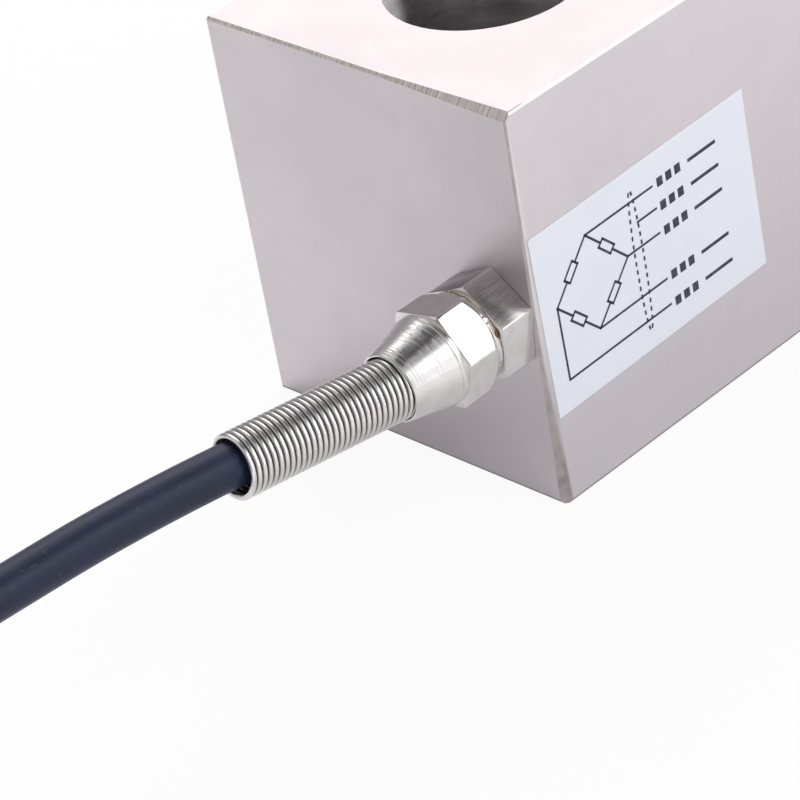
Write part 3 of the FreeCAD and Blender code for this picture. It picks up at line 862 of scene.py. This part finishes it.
# Wiring diagram, in millimetres from the label's middle: along the beam, then up.
LABEL_MIDDLE = Vector((-91.2, -25.12, 25.2))
LABEL_TILT = math.radians(1.4)
BRIDGE_TOP, BRIDGE_FOOT = (-10.2, 8.25), (-10.2, -4.85)
BRIDGE_LEFT, BRIDGE_RIGHT = (-16.45, 1.6), (-3.9, 1.7)
LEADS = (
    (BRIDGE_TOP, (1.8, 8.25)),
    (BRIDGE_RIGHT, (1.85, 1.7)),
    (BRIDGE_FOOT, (1.85, -4.85)),
    (BRIDGE_LEFT, (-16.45, -8.5)),
    ((-16.45, -8.5), (1.85, -8.5)),
    ((-1.4, 5.1), (1.95, 5.1)),
)
ARMS = (
    (BRIDGE_TOP, BRIDGE_RIGHT),
    (BRIDGE_TOP, BRIDGE_LEFT),
    (BRIDGE_RIGHT, BRIDGE_FOOT),
    (BRIDGE_LEFT, BRIDGE_FOOT),
)
ARM_BOX_HALF = (1.25, 0.58)
WORD_ROWS = (8.25, 5.0, 1.55, -4.8, -8.6)
# Start, end and half height of the three blocks and the bar in a row.
WORD_MARKS = ((2.7, 3.75, 0.62), (4.3, 5.35, 0.62), (5.9, 6.95, 0.62), (8.3, 13.4, 0.24))
SCREEN_MIDDLE, SCREEN_HALF = (-2.0, -0.1), (0.74, 9.9)
SCREEN_DASHES, DASH_LENGTH = 34, 0.62


def dashed_ring_tree():
    """Geometry nodes that set short dashes along an ellipse."""
    tree = bpy.data.node_groups.new("dashed_ring", "GeometryNodeTree")
    for name, kind in (
        ("Half width", "NodeSocketFloat"), ("Half height", "NodeSocketFloat"), ("Dashes", "NodeSocketInt"),
        ("Dash", "NodeSocketVector"), ("Finish", "NodeSocketMaterial"),
    ):
        tree.interface.new_socket(name, in_out="INPUT", socket_type=kind)
    tree.interface.new_socket("Geometry", in_out="OUTPUT", socket_type="NodeSocketGeometry")
    inputs = tree.nodes.new("NodeGroupInput").outputs
    ring = tree.nodes.new("GeometryNodeCurvePrimitiveCircle")
    ring.inputs["Resolution"].default_value = 256
    ring.inputs["Radius"].default_value = 1.0
    span = tree.nodes.new("ShaderNodeCombineXYZ")
    span.inputs["Z"].default_value = 1.0
    oval = tree.nodes.new("GeometryNodeTransform")
    spaced = tree.nodes.new("GeometryNodeCurveToPoints")
    spaced.mode = "COUNT"
    dash = tree.nodes.new("GeometryNodeMeshCube")
    scatter = tree.nodes.new("GeometryNodeInstanceOnPoints")
    turn = tree.nodes.new("FunctionNodeAlignRotationToVector")
    turn.axis = "X"
    realize = tree.nodes.new("GeometryNodeRealizeInstances")
    finish = tree.nodes.new("GeometryNodeSetMaterial")
    output = tree.nodes.new("NodeGroupOutput")
    for source, target in (
        (inputs["Half width"], span.inputs["X"]),
        (inputs["Half height"], span.inputs["Y"]),
        (ring.outputs[0], oval.inputs["Geometry"]),
        (span.outputs[0], oval.inputs["Scale"]),
        (oval.outputs[0], spaced.inputs["Curve"]),
        (inputs["Dashes"], spaced.inputs["Count"]),
        (inputs["Dash"], dash.inputs["Size"]),
        (spaced.outputs["Points"], scatter.inputs["Points"]),
        (spaced.outputs["Tangent"], turn.inputs["Vector"]),
        (dash.outputs[0], scatter.inputs["Instance"]),
        (turn.outputs[0], scatter.inputs["Rotation"]),
        (scatter.outputs[0], realize.inputs["Geometry"]),
        (realize.outputs[0], finish.inputs["Geometry"]),
        (inputs["Finish"], finish.inputs["Material"]),
        (finish.outputs[0], output.inputs["Geometry"]),
    ):
        tree.links.new(source, target)
    return tree


def slab(shell, corners, rise):
    """Thin printed patch with these corners, in millimetres on the label."""
    low = [shell.verts.new(Vector((u, v, -0.004)) * MM) for u, v in corners]
    high = [shell.verts.new(Vector((u, v, rise / MM)) * MM) for u, v in corners]
    shell.faces.new(list(reversed(low)))
    shell.faces.new(high)
    for k in range(len(corners)):
        n = (k + 1) % len(corners)
        shell.faces.new((low[k], low[n], high[n], high[k]))


def stroke(shell, start, end, width, rise):
    """Straight printed line with square ends."""
    a, b = Vector(start), Vector(end)
    along = (b - a).normalized() * width / 2
    side = Vector((-along.y, along.x))
    a, b = a - along, b + along
    slab(shell, [tuple(a - side), tuple(b - side), tuple(b + side), tuple(a + side)], rise)


def arm(shell, start, end, width, rise):
    """One arm of the bridge: a line on each side of a hollow box."""
    a, b = Vector(start), Vector(end)
    along = (b - a).normalized()
    side = Vector((-along.y, along.x))
    middle = (a + b) / 2
    half_long, half_wide = along * ARM_BOX_HALF[0], side * ARM_BOX_HALF[1]
    stroke(shell, a, middle - half_long, width, rise)
    stroke(shell, middle + half_long, b, width, rise)
    signs = ((-1, -1), (1, -1), (1, 1), (-1, 1))
    corners = [middle + half_long * s + half_wide * t for s, t in signs]
    for k in range(4):
        stroke(shell, corners[k], corners[(k + 1) % 4], width, rise)


def word_blocks(shell, level, rise):
    """Row of small plain blocks and a thin bar where a line of print stands."""
    for start, end, half in WORD_MARKS:
        low, high = level - half, level + half
        slab(shell, [(start, low), (end, low), (end, high), (start, high)], rise)


class LOADCELL_OT_label(bpy.types.Operator):
    """Finish the label's film and print its wiring diagram"""

    bl_idname = "loadcell.label"
    bl_label = "Wiring label"

    def execute(self, context):
        sizes = context.scene.load_cell_sizes
        colours = context.scene.load_cell_colours
        dress(label_film(colours.film), "wiring_label")
        ink = label_ink(colours.ink)
        width = sizes.print_line / MM
        rise = sizes.print_height
        dashes = grown(dashed_ring_tree(), {
            "Half width": SCREEN_HALF[0] * MM, "Half height": SCREEN_HALF[1] * MM, "Dashes": SCREEN_DASHES,
            "Dash": (DASH_LENGTH * MM, sizes.print_line, 2 * rise), "Finish": ink})
        dashes.transform(Matrix.Translation(Vector((*SCREEN_MIDDLE, 0.0)) * MM))
        shell = bmesh.new()
        for start, end in LEADS:
            stroke(shell, start, end, width, rise)
        for start, end in ARMS:
            arm(shell, start, end, width, rise)
        for level in WORD_ROWS:
            word_blocks(shell, level, rise)
        drawn = bpy.data.meshes.new("drawn")
        shell.to_mesh(drawn)
        shell.free()
        whole = joined([drawn, dashes])
        cos, sin = math.cos(LABEL_TILT), math.sin(LABEL_TILT)
        on_side = Matrix((
            (cos, -sin, 0.0, LABEL_MIDDLE.x * MM),
            (0.0, 0.0, -1.0, LABEL_MIDDLE.y * MM),
            (sin, cos, 0.0, LABEL_MIDDLE.z * MM),
            (0.0, 0.0, 0.0, 1.0),
        ))
        whole.transform(on_side)
        piece("label_print", whole, ink, "label_film")
        return {"FINISHED"}


def softbox(name, place, target, size, radiance, tint=(1.0, 1.0, 1.0), reflected=True):
    """Rectangular studio light of this radiance, aimed at a target."""
    data = bpy.data.lights.new(name, "AREA")
    data.shape = "RECTANGLE"
    data.size, data.size_y = size
    data.energy = radiance * math.pi * size[0] * size[1]
    data.color = tint
    lamp = scratch_object(name, data)
    lamp.location = place
    lamp.rotation_euler = (Vector(target) - Vector(place)).to_track_quat("-Z", "Y").to_euler()
    lamp.visible_camera = False
    lamp.visible_glossy = reflected


def studio_floor(tint):
    """Pale floor, nearly white to the camera with a faint shadow, and a little lifted in reflections."""
    f = material("studio_floor")
    rays = f.node("ShaderNodeLightPath").socket.node.outputs
    clear = Value(f, rays["Is Camera Ray"]) + Value(f, rays["Is Transmission Ray"])
    seen = clear * 0.93 + Value(f, rays["Is Glossy Ray"]) * 0.12
    lit = f.node("ShaderNodeBsdfDiffuse", None, {"Color": (*tint, 1.0)})
    white = f.node("ShaderNodeEmission", None, {"Color": (1.0, 1.0, 1.0, 1.0), "Strength": 1.0})
    shader = f.node("ShaderNodeMixShader", None, {0: seen, 1: lit, 2: white})
    f.node("ShaderNodeOutputMaterial", None, {"Surface": shader})
    return f.owner


def studio_world():
    """White behind the object, and a soft room with a bright front and a dark strip and card overhead.

    Matt surfaces get less of the room's light than reflections do.
    """
    world = bpy.data.worlds.new("studio_world")
    f = Finish(world)
    x, y, z = f.axes(f.node("ShaderNodeTexCoord", output="Generated"))
    strip = 1 - f.step(abs(y - x * 0.5 + 0.03), 0.23, 0.30)
    overhead = strip * f.step(z, 0.5, 0.7) * (1 - f.step(x, 0.2, 0.45)) * f.step(x, -0.5, -0.2)
    card = f.step(x * 0.54 - y * 0.29 + z * 0.79, 0.90, 0.96)
    cable_side = f.step(x * -1.0, 0.1, 0.5)
    front = f.step(y * -1.0, 0.5, 0.72) * (1 - cable_side * 0.6)
    left = f.step(x * -1.0, 0.2, 0.5) * f.step(y, 0.2, 0.5) * (1 - f.step(z, 0.2, 0.75))
    level = 0.28 + f.step(z, 0.25, 0.8) * 0.27 + left * 0.22 + front * 0.85
    level = level * (1 - overhead * 0.9) * (1 - card * 0.9)
    rays = f.node("ShaderNodeLightPath").socket.node.outputs
    level = level * (1 - Value(f, rays["Is Diffuse Ray"]) * 0.45)
    room = f.node("ShaderNodeBackground", None, {"Color": (0.98, 0.97, 1.0, 1.0), "Strength": level})
    white = f.node("ShaderNodeBackground", None, {"Color": (1.0, 1.0, 1.0, 1.0), "Strength": 1.0})
    clear = Value(f, rays["Is Camera Ray"]) + Value(f, rays["Is Transmission Ray"])
    seen = clear + Value(f, rays["Is Glossy Ray"]) * 0.05
    shader = f.node("ShaderNodeMixShader", None, {0: seen, 1: room, 2: white})
    f.node("ShaderNodeOutputWorld", None, {"Surface": shader})
    return world


class LOADCELL_OT_stage(bpy.types.Operator):
    """Set the floor, the studio light and the camera"""

    bl_idname = "loadcell.stage"
    bl_label = "Studio"

    def execute(self, context):
        scene = context.scene
        shell = bmesh.new()
        middle, span = (-0.2, -0.18, 0.0), (1.1, 0.84, 1.0, 1.0)
        sheet = Matrix.Translation(middle) @ Matrix.Diagonal(span)
        bmesh.ops.create_grid(shell, x_segments=8, y_segments=8, size=0.5, matrix=sheet)
        mesh = bpy.data.meshes.new("studio_floor")
        shell.to_mesh(mesh)
        shell.free()
        mesh.materials.append(studio_floor(scene.load_cell_colours.floor))
        scratch_object("studio_floor", mesh)

        target = (-0.1, 0.0, 0.03)
        softbox("front_light", (0.55, -0.75, 0.70), target, (1.0, 0.5), 1.6)
        softbox("back_light", (0.68, 0.77, 0.88), target, (1.0, 0.95), 1.57, tint=(1.0, 0.96, 0.91))
        softbox("key_light", (0.8, 0.6, 0.7), target, (1.2, 0.9), 4.4, reflected=False)
        softbox("label_light", (-0.05, -0.85, 0.95), target, (0.9, 0.9), 1.95, reflected=False)
        scene.world = studio_world()

        data = bpy.data.cameras.new("photo_camera")
        data.sensor_width = 36.0
        data.lens = 175.05
        data.clip_start, data.clip_end = 0.01, 50.0
        camera = scratch_object("photo_camera", data)
        right = Vector((0.69026, -0.70650, -0.15622))
        up = Vector((0.48156, 0.28742, 0.82794))
        back = Vector((-0.54004, -0.64672, 0.53862))
        turn = Matrix((right, up, back)).transposed().to_4x4()
        place = Vector((-370.44, -308.57, 264.80)) * MM
        camera.matrix_world = Matrix.Translation(place) @ turn
        scene.camera = camera
        scene.view_settings.view_transform = "Standard"
        return {"FINISHED"}


class LOADCELL_PT_panel(bpy.types.Panel):
    """Sidebar panel with the load cell's pieces, sizes and colours"""

    bl_idname = "LOADCELL_PT_panel"
    bl_label = "Load cell"
    bl_space_type = "VIEW_3D"
    bl_region_type = "UI"
    bl_category = "Load cell"

    def draw(self, context):
        for operator in OPERATORS:
            self.layout.operator(operator.bl_idname)
        for group in (context.scene.load_cell_sizes, context.scene.load_cell_colours):
            column = self.layout.column()
            for name in group.__annotations__:
                column.prop(group, name)


OPERATORS = (
    LOADCELL_OT_cable,
    LOADCELL_OT_spring,
    LOADCELL_OT_gland,
    LOADCELL_OT_beam,
    LOADCELL_OT_label,
    LOADCELL_OT_stage,
)
CLASSES = (LoadCellSizes, LoadCellColours, *OPERATORS, LOADCELL_PT_panel)


def register():
    for cls in CLASSES:
        bpy.utils.register_class(cls)
    bpy.types.Scene.load_cell_sizes = bpy.props.PointerProperty(type=LoadCellSizes)
    bpy.types.Scene.load_cell_colours = bpy.props.PointerProperty(type=LoadCellColours)


def unregister():
    del bpy.types.Scene.load_cell_colours
    del bpy.types.Scene.load_cell_sizes
    for cls in reversed(CLASSES):
        bpy.utils.unregister_class(cls)


def main():
    register()
    bpy.ops.loadcell.stage()
    bpy.ops.loadcell.cable()
    bpy.ops.loadcell.spring()
    bpy.ops.loadcell.gland()
    bpy.ops.loadcell.beam()
    bpy.ops.loadcell.label()


if __name__ == "__main__":
    main()
